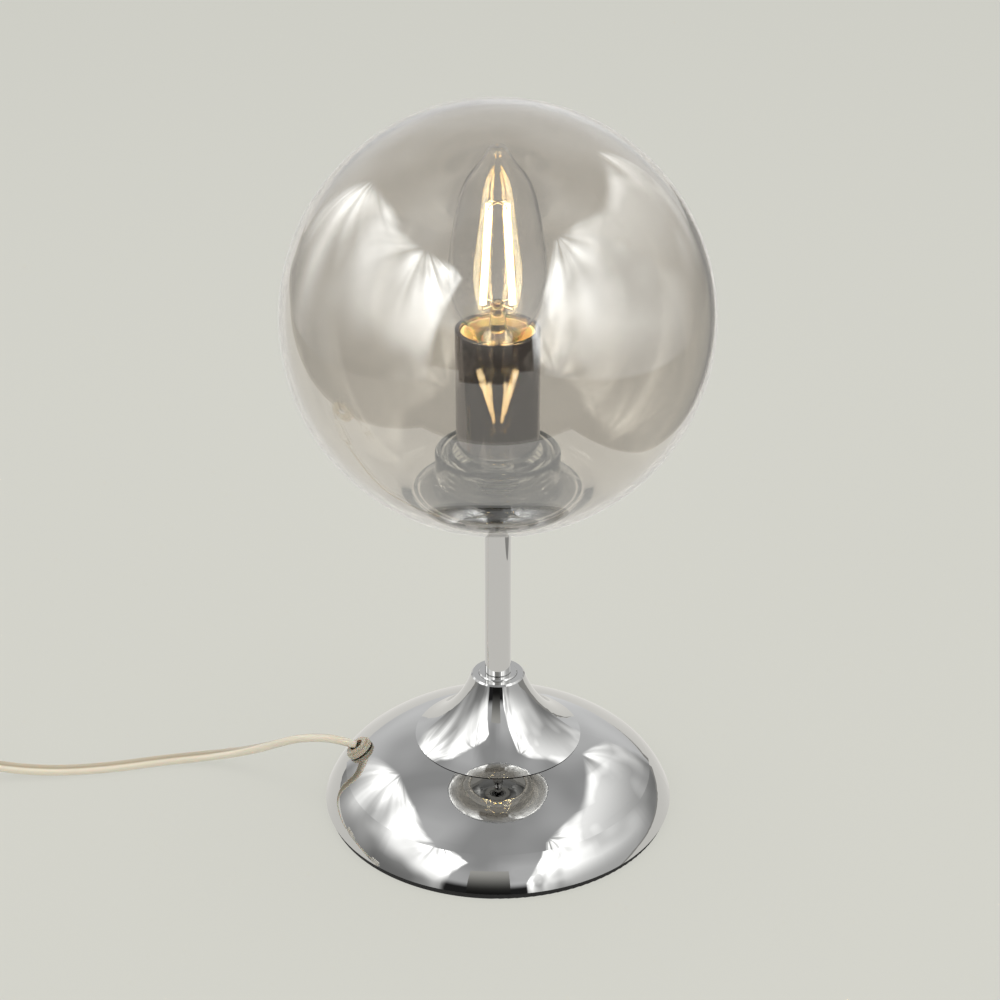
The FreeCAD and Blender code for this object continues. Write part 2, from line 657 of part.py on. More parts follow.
def switch():
    """In-line rocker switch: two case halves, rocker on its pin, contacts, screws."""
    x1 = SWITCH_X
    x0 = SWITCH_X - SWITCH_L
    y0, y1 = SWITCH_Y - SWITCH_W / 2, SWITCH_Y + SWITCH_W / 2
    half = SWITCH_Z
    hull = block(x0, x1, y0, y1, 0.1, 2 * half)
    hull = soften(hull, 7.5, lambda e: abs(e.BoundBox.ZLength - (2 * half - 0.1)) < 1e-3)
    hull = soften(hull, 2.6, lambda e: level(e, 2 * half) or level(e, 0.1))
    cavity = block(x0 + 9, x1 - 9, y0 + 2.2, y1 - 2.2, 2.4, 2 * half - 2.2)
    bore = Part.makeCylinder(CORD_D / 2 + 0.1, 9.5, V(x0 - 0.3, SWITCH_Y, half), V(1, 0, 0))
    bore2 = Part.makeCylinder(CORD_D / 2 + 0.1, 9.5, V(x1 - 9.2, SWITCH_Y, half), V(1, 0, 0))
    xm = (x0 + x1) / 2
    slot = block(xm - 10.4, xm + 10.4, SWITCH_Y - 5.4, SWITCH_Y + 5.4, half, 30)
    posts = [cyl(1.35, -1, 2 * half - 3, x, y) for x in (x0 + 5.5, x1 - 5.5)
             for y in (y0 + 5.5, y1 - 5.5)]
    heads = [cyl(2.5, -1, 2.0, x, y) for x in (x0 + 5.5, x1 - 5.5) for y in (y0 + 5.5, y1 - 5.5)]
    hull = hull.cut(cavity).cut(bore).cut(bore2).cut(slot)
    for hole in posts + heads:
        hull = hull.cut(hole)
    keep("switch_case_lower", hull.common(block(x0 - 9, x1 + 9, y0 - 9, y1 + 9, -1, half)))
    upper = hull.common(block(x0 - 9, x1 + 9, y0 - 9, y1 + 9, half + 0.1, 40))
    pin_z = 2 * half - 1.3
    ears = [block(xm - 2.4, xm + 2.4, y, y + 1.4, pin_z - 2.4, 2 * half - 2.2)
            for y in (SWITCH_Y - 6.9, SWITCH_Y + 5.5)]
    for ear in ears:
        upper = upper.fuse(ear)
    pin = Part.makeCylinder(0.9, 13.6, V(xm, SWITCH_Y - 6.8, pin_z), V(0, 1, 0))
    keep("switch_case_upper", upper.cut(pin))
    keep("switch_pin", pin)
    keep("switch_screws", group([
        cyl(1.15, 1.9, 2 * half - 3.6, x, y).fuse(cyl(2.3, 0.5, 1.9, x, y))
        for x in (x0 + 5.5, x1 - 5.5) for y in (y0 + 5.5, y1 - 5.5)]))

    # The rocker is a shallow V in side view, its pressed side level with the case.
    w = 10.2
    pts = [(-9.8, -3.2), (-9.8, 1.6), (0, 2.1), (9.8, 1.6), (9.8, -3.2), (3.0, -4.4), (-3.0, -4.4)]
    face = Part.Face(Part.makePolygon([V(xm + px, SWITCH_Y - w / 2, pin_z + pz)
                                       for px, pz in pts + pts[:1]]))
    rocker = face.extrude(V(0, w, 0))
    rocker = rocker.cut(Part.makeCylinder(0.96, 20, V(xm, SWITCH_Y - 10, pin_z), V(0, 1, 0)))
    rocker.rotate(V(xm, SWITCH_Y, pin_z), V(0, 1, 0), SWITCH_TILT)
    keep("switch_rocker", rocker)
    print("rocker axis", xm, SWITCH_Y, pin_z)
    contact = [block(xm - 14, xm - 4, SWITCH_Y - 4, SWITCH_Y - 1, 2.5, 3.1),
               block(xm + 4, xm + 14, SWITCH_Y + 1, SWITCH_Y + 4, 2.5, 3.1)]
    keep("switch_contacts", group(contact))


def plug(at):
    """Flat two-pin plug: moulded body with a ribbed tail, and two 4 mm pins."""
    tail = Part.makeCone(4.0, 5.4, 14, at, V(1, 0, 0))
    tail = tail.common(block(at.x - 1, at.x + 15, at.y - 9, at.y + 9, 0.3, 30))
    low, x0 = 0.4, at.x + 12
    x1 = x0 + PLUG_L
    side = PLUG_HALF_W
    plan = [V(x0, at.y - 6, low), V(x0 + 7, at.y - side, low), V(x1, at.y - side, low),
            V(x1, at.y + side, low), V(x0 + 7, at.y + side, low), V(x0, at.y + 6, low)]
    body = Part.Face(Part.makePolygon(plan + plan[:1])).extrude(V(0, 0, PLUG_H))
    body = soften(body, 2.0, lambda e: abs(e.BoundBox.ZLength - PLUG_H) < 1e-3
                  or level(e, low + PLUG_H) or level(e, low))
    body = body.fuse(tail).removeSplitter()
    pins = []
    for y in (at.y - PIN_PITCH / 2, at.y + PIN_PITCH / 2):
        pin = Part.makeCylinder(PIN_R, PIN_L, V(x1 + 0.02, y, PLUG_Z), V(1, 0, 0))
        pin = soften(pin, 1.0, lambda e: e.BoundBox.XMin > x1 + PIN_L - 1)
        pins.append(pin)
    keep("plug_body", body)
    keep("plug_pins", group(pins))
    print("plug pin ends", x1 + PIN_L, at.y, PLUG_Z)


def build():
    base()
    trumpet()
    seat()
    globe()
    lampholder()
    bulb()
    filaments()
    run = grommet_and_cord()
    base_wiring()
    coil, plug_at = cord_coil()
    coil_tie()
    switch()
    plug(plug_at)
    print("cord length %.0f mm" % (run + SWITCH_L + coil))
    os.makedirs("parts", exist_ok=True)
    for name, shape in PARTS.items():
        shape.exportStep("parts/" + name + ".step")
        if not shape.isValid() or not shape.Solids:
            print("CHECK", name, "valid", shape.isValid(), "solids", len(shape.Solids))
    print(len(PARTS), "nodes")


build()
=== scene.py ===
import bpy
import bmesh
import math
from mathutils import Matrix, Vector


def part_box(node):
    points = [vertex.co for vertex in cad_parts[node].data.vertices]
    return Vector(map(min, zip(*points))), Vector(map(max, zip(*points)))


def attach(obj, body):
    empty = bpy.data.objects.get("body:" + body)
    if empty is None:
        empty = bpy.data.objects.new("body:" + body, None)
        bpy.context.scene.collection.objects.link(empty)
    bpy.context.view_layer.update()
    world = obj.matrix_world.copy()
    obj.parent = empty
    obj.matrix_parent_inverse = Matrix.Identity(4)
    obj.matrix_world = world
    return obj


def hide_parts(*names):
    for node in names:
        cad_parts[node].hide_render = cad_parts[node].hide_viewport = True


# Glass globe table lamp: looks, cord, light and camera. Metres, +Z up, the lamp on the
# Z axis, -Y towards the camera, -X towards the side where the cord leaves the base.

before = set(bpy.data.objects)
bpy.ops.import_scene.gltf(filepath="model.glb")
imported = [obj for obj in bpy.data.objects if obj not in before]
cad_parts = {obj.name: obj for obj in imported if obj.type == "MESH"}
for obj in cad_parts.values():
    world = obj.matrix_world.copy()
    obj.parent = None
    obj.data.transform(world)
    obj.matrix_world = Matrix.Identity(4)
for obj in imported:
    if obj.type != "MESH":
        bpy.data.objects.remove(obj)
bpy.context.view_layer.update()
MM = 0.001

# ---- places read from the frame ----------------------------------------------------
GLOBE_LOW, GLOBE_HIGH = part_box("globe_glass")
GLOBE_R = (GLOBE_HIGH[0] - GLOBE_LOW[0]) / 2
GLOBE_Z = GLOBE_HIGH[2] - GLOBE_R
BULB_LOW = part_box("bulb_glass")[0]

# ---- the cord, as in the part's source, in millimetres -------------------------------
CORD_W = 5.4
CORD_T = 3.2
CORD_EXIT = (-56.19, 3.93, 21.73)
CORD_ROUTE = [(-63.5, 4.6, 23.9), (-72.4, 5.6, 24.2), (-81.8, 9.6, 20.6), (-93.2, 16.0, 12.8),
              (-106.0, 21.6, 6.3), (-120.4, 24.4, 2.6), (-137.6, 22.6, 1.7), (-157.0, 17.6, 1.7),
              (-178.0, 14.8, 1.9), (-196.0, 13.4, 4.2), (-207.6, 12.8, 7.0)]
SWITCH_X = -217.0
SWITCH_L = 60.0
SWITCH_Y = 12.8
SWITCH_Z = 7.6
COIL_X = -330.0
COIL_MID_D = 56.0
COIL_PITCH = 5.95
COIL_TURNS = 5
CLIMB_INSET = 1.2
COIL_BASE = 0.95
LAYER_RISE = 3.6
COIL_OUT = COIL_MID_D / 2 + COIL_PITCH * (COIL_TURNS - 1) / 2
COIL_IN = COIL_OUT - COIL_PITCH * (COIL_TURNS - 1)
COIL_CENTRE_Y = SWITCH_Y - COIL_OUT
COIL_ALL_TURNS = 2 * (COIL_TURNS - 1) + 0.5
COIL_POINTS_PER_TURN = 16
PLUG_LEAD = 50.0
PLUG_ASIDE = 19.0
PLUG_Z = 6.9
# Steps from the switch down to the coil, and from the coil up to the plug.
LEAD_IN = [(40.0, 5.6), (26.0, 3.6)]
LEAD_IN_END = 12.0
LEAD_OUT = [(12.0, 0.6, 0.2), (24.0, 7.0, 6.4), (36.0, 1.2, 6.8)]

# ---- the cord's own shape --------------------------------------------------------------
SECTION_POINTS = 28
WAIST = 0.90             # thickness between the two cores, as a share of the full one
CORE_HALF_W = 0.75       # half width of each dark core, seen through the jacket
CORE_AT = 1.15
TWIST_DEG = 38           # roll of the cord where it leaves the grommet
TWIST_OVER = 0.07        # metres in which it rolls flat

# ---- the strap round the coil, in millimetres -----------------------------------------
TIE_W = 7.0
TIE_THICK = 0.5
TIE_GAP = 0.5            # between strap and cord, at the sides
TIE_TOP_GAP = 0.3
TIE_LOW = 0.45
TIE_BEND_R = 1.2
TIE_BEND_STEPS = 5
TIE_LEAST_Z = 0.05

# ---- the globe's wall, in millimetres ---------------------------------------------------
GLASS = 2.4
FOLD_R = 31.4
SHELF_Z = 137.5
NECK_BORE = 21.0
NECK_OUT = 23.4
NECK_TOP = 154.0
ROOT_FILLET = 2.0
ROOT_RISE = 1.6          # above the shelf, where the sphere's inner face begins
SPHERE_STEPS = 150
GLOBE_AROUND = 256

# ---- camera: fitted to the circles of the photo -------------------------------------
CAMERA_AT = (0.0008, -0.779, 0.5413)
CAMERA_PITCH = 27.65
CAMERA_FOCUS_PX = 2361.0
SENSOR = 36.0
FRAME_PX = 1000.0
CLIP_START = 0.01

# ---- colours, linear -----------------------------------------------------------------
BACKGROUND = (0.638, 0.638, 0.584)
SMOKE = (0.77, 0.735, 0.68)
SMOKE_SHADOW = (0.78, 0.74, 0.69)
COAT = (0.93, 0.97, 1.0)
NECK_TINT = (0.97, 0.97, 0.95)
WHITE_HOT = (1.0, 0.92, 0.62)
AMBER = (1.0, 0.60, 0.14)
JACKET = (0.74, 0.69, 0.57)
CORE = (0.32, 0.27, 0.18)

# ---- glass and filament ----------------------------------------------------------------
NECK_CLEAR_R = 0.0256    # inside this radius the glass is left uncoated
MIRROR_SHARE = 0.13      # of the light, at each of the wall's two faces
CORE_POWER = 110.0       # the filament's emission, along its middle and at its edge
EDGE_POWER = 14.0

# ---- studio --------------------------------------------------------------------------------
# The lit table's outline; past it the floor shows darker in the polished surfaces.
TABLE_EDGE = [(-0.21, -0.275), (0.20, -0.275), (0.20, 0.02), (0.23, 0.23), (0.33, 0.57),
              (0.80, 2.2), (-1.35, 2.2), (-0.67, 0.56), (-0.27, -0.155)]
FLOOR_HALF = 3.0
FLOOR_BACK = 6.0
TABLE_IN_METAL = 0.82
FLOOR_IN_METAL = 0.34
TABLE_DIFFUSE = 0.14     # share of the table that takes light and shadow
CEILING = 0.52
BACK_WALL = 0.80
FRONT_DARK = 0.02
ROOM_FILL = 0.55         # what rays that are no reflections find of the room

# Screens: outline in y and z, and the clamps (y, z, number of folds) that hold them.
SCREEN_X = 0.70
LEFT_OUTLINE = [(1.0, -0.30), (0.94, 0.36), (0.62, 0.80), (0.16, 0.98), (-0.27, 1.04),
                (-0.48, 1.15), (-1.17, 1.68), (-1.75, 1.90), (-1.22, 0.60), (-1.08, -0.30)]
RIGHT_OUTLINE = [(0.95, -0.30), (1.23, 0.50), (1.12, 1.05), (0.30, 0.98), (0.12, 1.00),
                 (-0.19, 1.26), (-0.58, 1.56), (-1.29, 1.30), (-2.30, 0.80), (-2.30, -0.30)]
LEFT_CLAMPS = [(0.62, 0.84, 2.6), (-0.48, 1.20, 3.2)]
RIGHT_CLAMPS = [(1.12, 1.10, 2.2), (-0.50, 1.52, 3.4)]
LEFT_POWER, LEFT_SEED = 3.0, 1.7
RIGHT_POWER, RIGHT_SEED = 3.1, 5.1
SEED_STEP = 7.3          # between the folds of one clamp and the next
SCREEN_SOFT = 0.16       # metres over which a screen's edge fades
SCREEN_CELL = 0.03
SCREEN_FOOT = 0.16       # brightness at the floor, as a share of that at FOOT_TOP
FOOT_TOP = 0.95

# The gap between the screens in front: x and z in the plane at GAP_Y, brighter upwards.
GAP_Y = -1.25
GAP_X = (-0.42, 0.16)
GAP_LOW = -0.1
GAP_DARK = 0.18
GAP_TOP = 0.92
GAP_POWER = (0.012, 0.50)

# ---- lights ----------------------------------------------------------------------------------
TOP_SIZE = (1.2, 0.9)
TOP_POWER = 9.0
TOP_AT = (0.15, 0.2, 1.5)
TOP_TILT_DEG = (-8, 6)
BULB_POWER = 0.20
BULB_COLOUR = (1.0, 0.66, 0.26)
BULB_SOFT = 0.004
BULB_RISE = 0.030        # from the bottom of the bulb's glass


# ---- node helpers ----------------------------------------------------------------------
def new_material(name):
    mat = bpy.data.materials.new(name)
    mat.use_nodes = True
    tree = mat.node_tree
    tree.nodes.clear()
    out = tree.nodes.new("ShaderNodeOutputMaterial")
    return mat, tree, out


def node(tree, kind, **values):
    n = tree.nodes.new(kind)
    for key, value in values.items():
        setattr(n, key, value)
    return n


def link(tree, a, out_name, b, in_name):
    tree.links.new(a.outputs[out_name], b.inputs[in_name])


def feed(tree, value, socket):
    """Sets a socket to a number, or wires it to a (node, output) pair."""
    if isinstance(value, tuple):
        tree.links.new(value[0].outputs[value[1]], socket)
    else:
        socket.default_value = value


def calc(tree, operation, *values):
    """A maths node; each value is a number or a (node, output) pair."""
    n = node(tree, "ShaderNodeMath", operation=operation)
    for socket, value in zip(n.inputs, values):
        feed(tree, value, socket)
    return n


def length_of(tree, x, y):
    """Length of the flat vector (x, y)."""
    flat = node(tree, "ShaderNodeCombineXYZ")
    feed(tree, x, flat.inputs["X"])
    feed(tree, y, flat.inputs["Y"])
    size = node(tree, "ShaderNodeVectorMath", operation="LENGTH")
    link(tree, flat, "Vector", size, "Vector")
    return size


def place_in(tree, kind="Object"):
    """The texture coordinates, and the same split into X, Y and Z."""
    tc = node(tree, "ShaderNodeTexCoord")
    split = node(tree, "ShaderNodeSeparateXYZ")
    link(tree, tc, kind, split, "Vector")
    return tc, split


def principled(tree, **sockets):
    n = tree.nodes.new("ShaderNodeBsdfPrincipled")
    for key, value in sockets.items():
        n.inputs[key.replace("_", " ")].default_value = value
    return n


def glow_of(tree, colour, strength, kind="ShaderNodeEmission"):
    n = node(tree, kind)
    n.inputs["Color"].default_value = (*colour, 1)
    feed(tree, strength, n.inputs["Strength"])
    return n


def mix_shader(tree, share, first, second):
    n = node(tree, "ShaderNodeMixShader")
    feed(tree, share, n.inputs["Fac"])
    tree.links.new(first.outputs[0], n.inputs[1])
    tree.links.new(second.outputs[0], n.inputs[2])
    return n


def mix_colour(tree, share, first, second):
    n = node(tree, "ShaderNodeMix", data_type="RGBA")
    n.inputs["A"].default_value = (*first, 1)
    n.inputs["B"].default_value = (*second, 1)
    feed(tree, share, n.inputs["Factor"])
    return n


def object_coords(tree, scale=(1.0, 1.0, 1.0)):
    tc = node(tree, "ShaderNodeTexCoord")
    mp = node(tree, "ShaderNodeMapping")
    mp.inputs["Scale"].default_value = scale
    link(tree, tc, "Object", mp, "Vector")
    return mp


def noise(tree, coords, scale, detail=3.0, socket="Vector"):
    n = node(tree, "ShaderNodeTexNoise")
    n.inputs["Scale"].default_value = scale
    n.inputs["Detail"].default_value = detail
    link(tree, coords, socket, n, "Vector")
    return n


def ramp_value(tree, source, socket, low, high, from_min=0.0, from_max=1.0, smooth=False):
    m = node(tree, "ShaderNodeMapRange")
    m.inputs["From Min"].default_value = from_min
    m.inputs["From Max"].default_value = from_max
    m.inputs["To Min"].default_value = low
    m.inputs["To Max"].default_value = high
    if smooth:
        m.interpolation_type = "SMOOTHSTEP"
    link(tree, source, socket, m, "Value")
    return m


def bump(tree, height, socket, shader, strength, distance):
    b = node(tree, "ShaderNodeBump")
    b.inputs["Strength"].default_value = strength
    b.inputs["Distance"].default_value = distance
    link(tree, height, socket, b, "Height")
    link(tree, b, "Normal", shader, "Normal")


# ---- object helpers ----------------------------------------------------------------------
def add_object(name, data):
    obj = bpy.data.objects.new(name, data)
    bpy.context.scene.collection.objects.link(obj)
    return obj


def solid_from(name, bm, is_smooth):
    """An object from a closed bmesh, with its faces turned outwards."""
    bmesh.ops.recalc_face_normals(bm, faces=bm.faces)
    mesh = bpy.data.meshes.new(name)
    bm.to_mesh(mesh)
    bm.free()
    for poly in mesh.polygons:
        poly.use_smooth = is_smooth(poly)
    return add_object(name, mesh)


# ---- metals ------------------------------------------------------------------------------
def polished_metal(name, colour, rough, wave=0.0):
    """Plated metal: faint uneven polish, and the sheet's slow waviness."""
    mat, tree, out = new_material(name)
    s = principled(tree, Base_Color=(*colour, 1), Metallic=1.0)
    coords = object_coords(tree)
    smudge = noise(tree, coords, 60.0, 4.0)
    r = ramp_value(tree, smudge, "Fac", rough * 0.6, rough * 1.6, 0.3, 0.7)
    link(tree, r, "Result", s, "Roughness")
    if wave:
        bump(tree, noise(tree, coords, 14.0, 1.0), "Fac", s, wave, 0.0006)
    link(tree, s, "BSDF", out, "Surface")
    return mat


def machined_metal(name, colour, rough):
    """Turned or stamped metal with fine streaks."""
    mat, tree, out = new_material(name)
    s = principled(tree, Base_Color=(*colour, 1), Metallic=1.0)
    streaks = noise(tree, object_coords(tree, (40.0, 40.0, 900.0)), 3.0, 4.0)
    r = ramp_value(tree, streaks, "Fac", rough * 0.7, rough * 1.4, 0.3, 0.7)
    link(tree, r, "Result", s, "Roughness")
    bump(tree, streaks, "Fac", s, 0.12, 0.0001)
    link(tree, s, "BSDF", out, "Surface")
    return mat


# ---- plastics, foam, iron ----------------------------------------------------------------
def moulded(name, colour, rough, grain=0.08, subsurface=0.0):
    mat, tree, out = new_material(name)
    s = principled(tree, Roughness=rough, Subsurface_Weight=subsurface, Subsurface_Scale=0.002)
    coords = object_coords(tree)
    tone = noise(tree, coords, 90.0, 3.0)
    shade = [c * 0.93 for c in colour]
    link(tree, mix_colour(tree, (tone, "Fac"), shade, colour), "Result", s, "Base Color")
    bump(tree, noise(tree, coords, 2600.0, 2.0), "Fac", s, grain, 0.0001)
    link(tree, s, "BSDF", out, "Surface")
    return mat


def foam(name):
    mat, tree, out = new_material(name)
    s = principled(tree, Base_Color=(0.012, 0.012, 0.012, 1), Roughness=0.85)
    cells = node(tree, "ShaderNodeTexVoronoi")
    cells.inputs["Scale"].default_value = 1600.0
    link(tree, object_coords(tree), "Vector", cells, "Vector")
    bump(tree, cells, "Distance", s, 0.5, 0.0003)
    link(tree, s, "BSDF", out, "Surface")
    return mat


def cast_iron(name):
    mat, tree, out = new_material(name)
    s = principled(tree, Base_Color=(0.05, 0.05, 0.055, 1), Roughness=0.6, Metallic=0.3)
    bump(tree, noise(tree, object_coords(tree), 500.0, 6.0), "Fac", s, 0.5, 0.0005)
    link(tree, s, "BSDF", out, "Surface")
    return mat


# ---- glass ---------------------------------------------------------------------------------
def shadow_free(tree, shader, out, tint):
    """Light passes the glass to what is behind, tinted, in place of caustics."""
    path = node(tree, "ShaderNodeLightPath")
    clear = node(tree, "ShaderNodeBsdfTransparent")
    clear.inputs["Color"].default_value = (*tint, 1)
    mix = mix_shader(tree, (path, "Is Shadow Ray"), shader, clear)
    link(tree, mix, "Shader", out, "Surface")


def clear_glass(name, tint=(1, 1, 1), ior=1.46):
    mat, tree, out = new_material(name)
    s = principled(tree, Base_Color=(*tint, 1), Transmission_Weight=1.0, IOR=ior, Roughness=0.0)
    bump(tree, noise(tree, object_coords(tree), 55.0, 1.0), "Fac", s, 0.12, 0.0004)
    shadow_free(tree, s, out, tint)
    return mat


def smoke_mirror_glass(name):
    """Blown glass with a thin metal coat, clear and uncoated at the neck."""
    mat, tree, out = new_material(name)
    body = principled(tree, Transmission_Weight=1.0, IOR=1.45, Roughness=0.0)
    coat = node(tree, "ShaderNodeBsdfGlossy", distribution="GGX")
    coat.inputs["Color"].default_value = (*COAT, 1)
    coat.inputs["Roughness"].default_value = 0.0
    slow = noise(tree, object_coords(tree), 9.0, 1.0)
    bump(tree, slow, "Fac", body, 0.06, 0.001)
    bump(tree, slow, "Fac", coat, 0.06, 0.001)
    _, split = place_in(tree)
    radius = length_of(tree, (split, "X"), (split, "Y"))
    outside = calc(tree, "GREATER_THAN", (radius, "Value"), NECK_CLEAR_R)
    above = calc(tree, "GREATER_THAN", (split, "Z"), GLOBE_Z)
    coated = calc(tree, "MAXIMUM", (outside, "Value"), (above, "Value"))
    share = calc(tree, "MULTIPLY", (coated, "Value"), MIRROR_SHARE)
    tint = mix_colour(tree, (coated, "Value"), NECK_TINT, SMOKE)
    link(tree, tint, "Result", body, "Base Color")
    shadow_free(tree, mix_shader(tree, (share, "Value"), body, coat), out, SMOKE_SHADOW)
    return mat


def glowing(name):
    """Lit phosphor: white-hot along the middle, amber where it turns away."""
    mat, tree, out = new_material(name)
    s = principled(tree, Base_Color=(0.9, 0.62, 0.2, 1), Roughness=0.5)
    turn = node(tree, "ShaderNodeLayerWeight")
    turn.inputs["Blend"].default_value = 0.35
    edge = ramp_value(tree, turn, "Facing", 0.0, 1.0, 0.15, 0.75)
    hue = mix_colour(tree, (edge, "Result"), WHITE_HOT, AMBER)
    power = ramp_value(tree, edge, "Result", CORE_POWER, EDGE_POWER)
    link(tree, hue, "Result", s, "Emission Color")
    link(tree, power, "Result", s, "Emission Strength")
    link(tree, s, "BSDF", out, "Surface")
    return mat


# ---- materials of the CAD nodes ---------------------------------------------------------
CHROME = polished_metal("chrome", (0.60, 0.603, 0.60), 0.012, wave=0.05)
TUBE_CHROME = polished_metal("tube_chrome", (0.60, 0.60, 0.595), 0.03)
# Painted shade: the seat plate takes a darker copy of the chrome, for how dim it sits under the
# globe.
SHADED_SEAT_CHROME = polished_metal("seat_chrome_painted_shade", (0.36, 0.355, 0.345), 0.03)
BLACK_CHROME = polished_metal("black_chrome", (0.34, 0.32, 0.32), 0.015)
ZINC = machined_metal("zinc", (0.60, 0.60, 0.58), 0.32)
BRASS = machined_metal("brass", (0.80, 0.56, 0.24), 0.25)
WIRE = machined_metal("wire", (0.62, 0.58, 0.52), 0.3)
FOAM = foam("foam")
IRON = cast_iron("iron")
CREAM = moulded("cream", (0.80, 0.70, 0.50), 0.30, subsurface=0.15)
WHITE = moulded("white_plastic", (0.78, 0.76, 0.70), 0.32)
SMOKE_GLASS = smoke_mirror_glass("smoke_glass")
BULB_GLASS = clear_glass("bulb_glass")
CLEAR_PLASTIC = clear_glass("clear_plastic", tint=(0.97, 0.97, 0.95), ior=1.49)
GROMMET = moulded("grommet", (0.50, 0.46, 0.36), 0.18, grain=0.02, subsurface=0.3)
BLACK_GLASS = moulded("black_glass", (0.02, 0.02, 0.02), 0.15)
BROWN_LEAD = moulded("brown_lead", (0.12, 0.05, 0.02), 0.4)
BLUE_LEAD = moulded("blue_lead", (0.03, 0.09, 0.35), 0.4)
FILAMENT = glowing("filament")

NODE_MATERIALS = {
    CHROME: ["base_dome", "trumpet_cone", "mouth_washer", "holder_foot", "holder_standoff"],
    TUBE_CHROME: ["stem_tube"],
    SHADED_SEAT_CHROME: ["seat_plate"],
    BLACK_CHROME: ["candle_sleeve"],
    ZINC: ["base_spacer", "bottom_washer", "bottom_nut", "clamp_sleeve", "threaded_rod",
           "seat_nut", "bulb_cap", "bulb_tip_contact", "saddle_screws", "switch_pin",
           "switch_screws", "plug_pins"],
    BRASS: ["e14_shell", "centre_contact", "side_contact", "holder_screws",
            "terminal_screws", "switch_contacts"],
    WIRE: ["filament_feet", "filament_crown"],
    FOAM: ["base_pad"],
    IRON: ["base_weight"],
    CREAM: ["holder_body"],
    WHITE: ["cord_saddle", "terminal_block", "switch_case_lower", "switch_case_upper",
            "switch_rocker", "plug_body"],
    BULB_GLASS: ["bulb_glass", "bulb_stem"],
    CLEAR_PLASTIC: ["threaded_collar"],
    GROMMET: ["cord_grommet"],
    BLACK_GLASS: ["bulb_insulator"],
    BROWN_LEAD: ["lead_live"],
    BLUE_LEAD: ["lead_neutral"],
    FILAMENT: ["filament_strips"],
}


def dress_nodes():
    for mat, names in NODE_MATERIALS.items():
        for name in names:
            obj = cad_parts[name]
            if not obj.material_slots:
                obj.data.materials.append(mat)
            for slot in obj.material_slots:
                slot.material = mat


# ---- cord ------------------------------------------------------------------------------------
def coil_point(turn):
    """Centreline of the flat coil: in on the lower layer, half a turn up, out on the upper."""
    low = COIL_BASE + CORD_T / 2
    span = COIL_TURNS - 1
    if turn <= span:
        r, z = COIL_OUT - COIL_PITCH * turn, low
    elif turn <= span + 0.5:
        s = (turn - span) * 2
        r = COIL_IN - CLIMB_INSET * math.sin(math.pi * s)
        z = low + LAYER_RISE * (3 * s * s - 2 * s ** 3)
    else:
        r, z = COIL_IN + COIL_PITCH * (turn - span - 0.5), low + LAYER_RISE
    a = math.radians(90 + 360 * turn)
    return (COIL_X + r * math.cos(a), COIL_CENTRE_Y + r * math.sin(a), z)


def cord_points():
    """Control points of the whole cord, from the grommet to the plug, in metres."""
    through_switch = [(SWITCH_X, SWITCH_Y, SWITCH_Z), (SWITCH_X - SWITCH_L, SWITCH_Y, SWITCH_Z)]
    steps = int(COIL_ALL_TURNS * COIL_POINTS_PER_TURN)
    turns = [coil_point(i / COIL_POINTS_PER_TURN) for i in range(steps + 1)]
    first, last = turns[0], turns[-1]
    lead_in = [(first[0] + dx, SWITCH_Y, z) for dx, z in LEAD_IN]
    lead_in.append((first[0] + LEAD_IN_END, SWITCH_Y, first[2]))
    plug_at = (last[0] + PLUG_LEAD, last[1] - PLUG_ASIDE, PLUG_Z)
    (dx0, dy0, dz0), (dx1, dy1, z1), (dx2, dy2, z2) = LEAD_OUT
    lead_out = [(last[0] + dx0, last[1] - dy0, last[2] + dz0),
                (last[0] + dx1, last[1] - dy1, z1),
                (last[0] + dx2, plug_at[1] + dy2, z2), plug_at]
    points = [CORD_EXIT] + CORD_ROUTE + through_switch + lead_in + turns + lead_out
    return [Vector(p) * MM for p in points]


def nurbs_line(name, points):
    """The points of a smooth curve with these control points."""
    curve = bpy.data.curves.new(name, "CURVE")
    curve.dimensions = "3D"
    curve.resolution_u = 8
    spline = curve.splines.new("NURBS")
    spline.points.add(len(points) - 1)
    for p, q in zip(spline.points, points):
        p.co = (*q, 1)
    spline.order_u = 3
    spline.use_endpoint_u = True
    obj = add_object(name, curve)
    bpy.context.view_layer.update()
    mesh = bpy.data.meshes.new_from_object(obj)
    line = [v.co.copy() for v in mesh.vertices]
    bpy.data.objects.remove(obj)
    return line


def cord_section():
    """Flat twin section: two round cores side by side in one clear jacket."""
    half_t = CORD_T / 2
    lobe = CORD_W / 2 - half_t
    out = []
    for i in range(SECTION_POINTS):
        a = 2 * math.pi * i / SECTION_POINTS
        side = 1 if math.cos(a) >= 0 else -1
        x = side * lobe + half_t * math.cos(a)
        y = half_t * math.sin(a)
        waist = WAIST + (1 - WAIST) * min(1.0, abs(x) / lobe)
        out.append((x * MM, y * waist * MM))
    return out


def core_share(x_mm):
    """How much of a core shows at this place across the cord."""
    return max(0.0, 1.0 - abs(abs(x_mm) - CORE_AT) / CORE_HALF_W)


def cord_material():
    """Clear PVC, pale beige, with the strands showing as two darker lines."""
    mat, tree, out = new_material("cord_pvc")
    s = principled(tree, Roughness=0.22, Subsurface_Weight=0.25, Subsurface_Scale=0.0015)
    share = node(tree, "ShaderNodeAttribute", attribute_name="core")
    link(tree, mix_colour(tree, (share, "Fac"), JACKET, CORE), "Result", s, "Base Color")
    link(tree, s, "BSDF", out, "Surface")
    return mat


def twist_at(along):
    """Roll of the flat cord about its own line, radians, by length along it in metres."""
    return math.radians(TWIST_DEG) * max(0.0, 1 - along / TWIST_OVER)


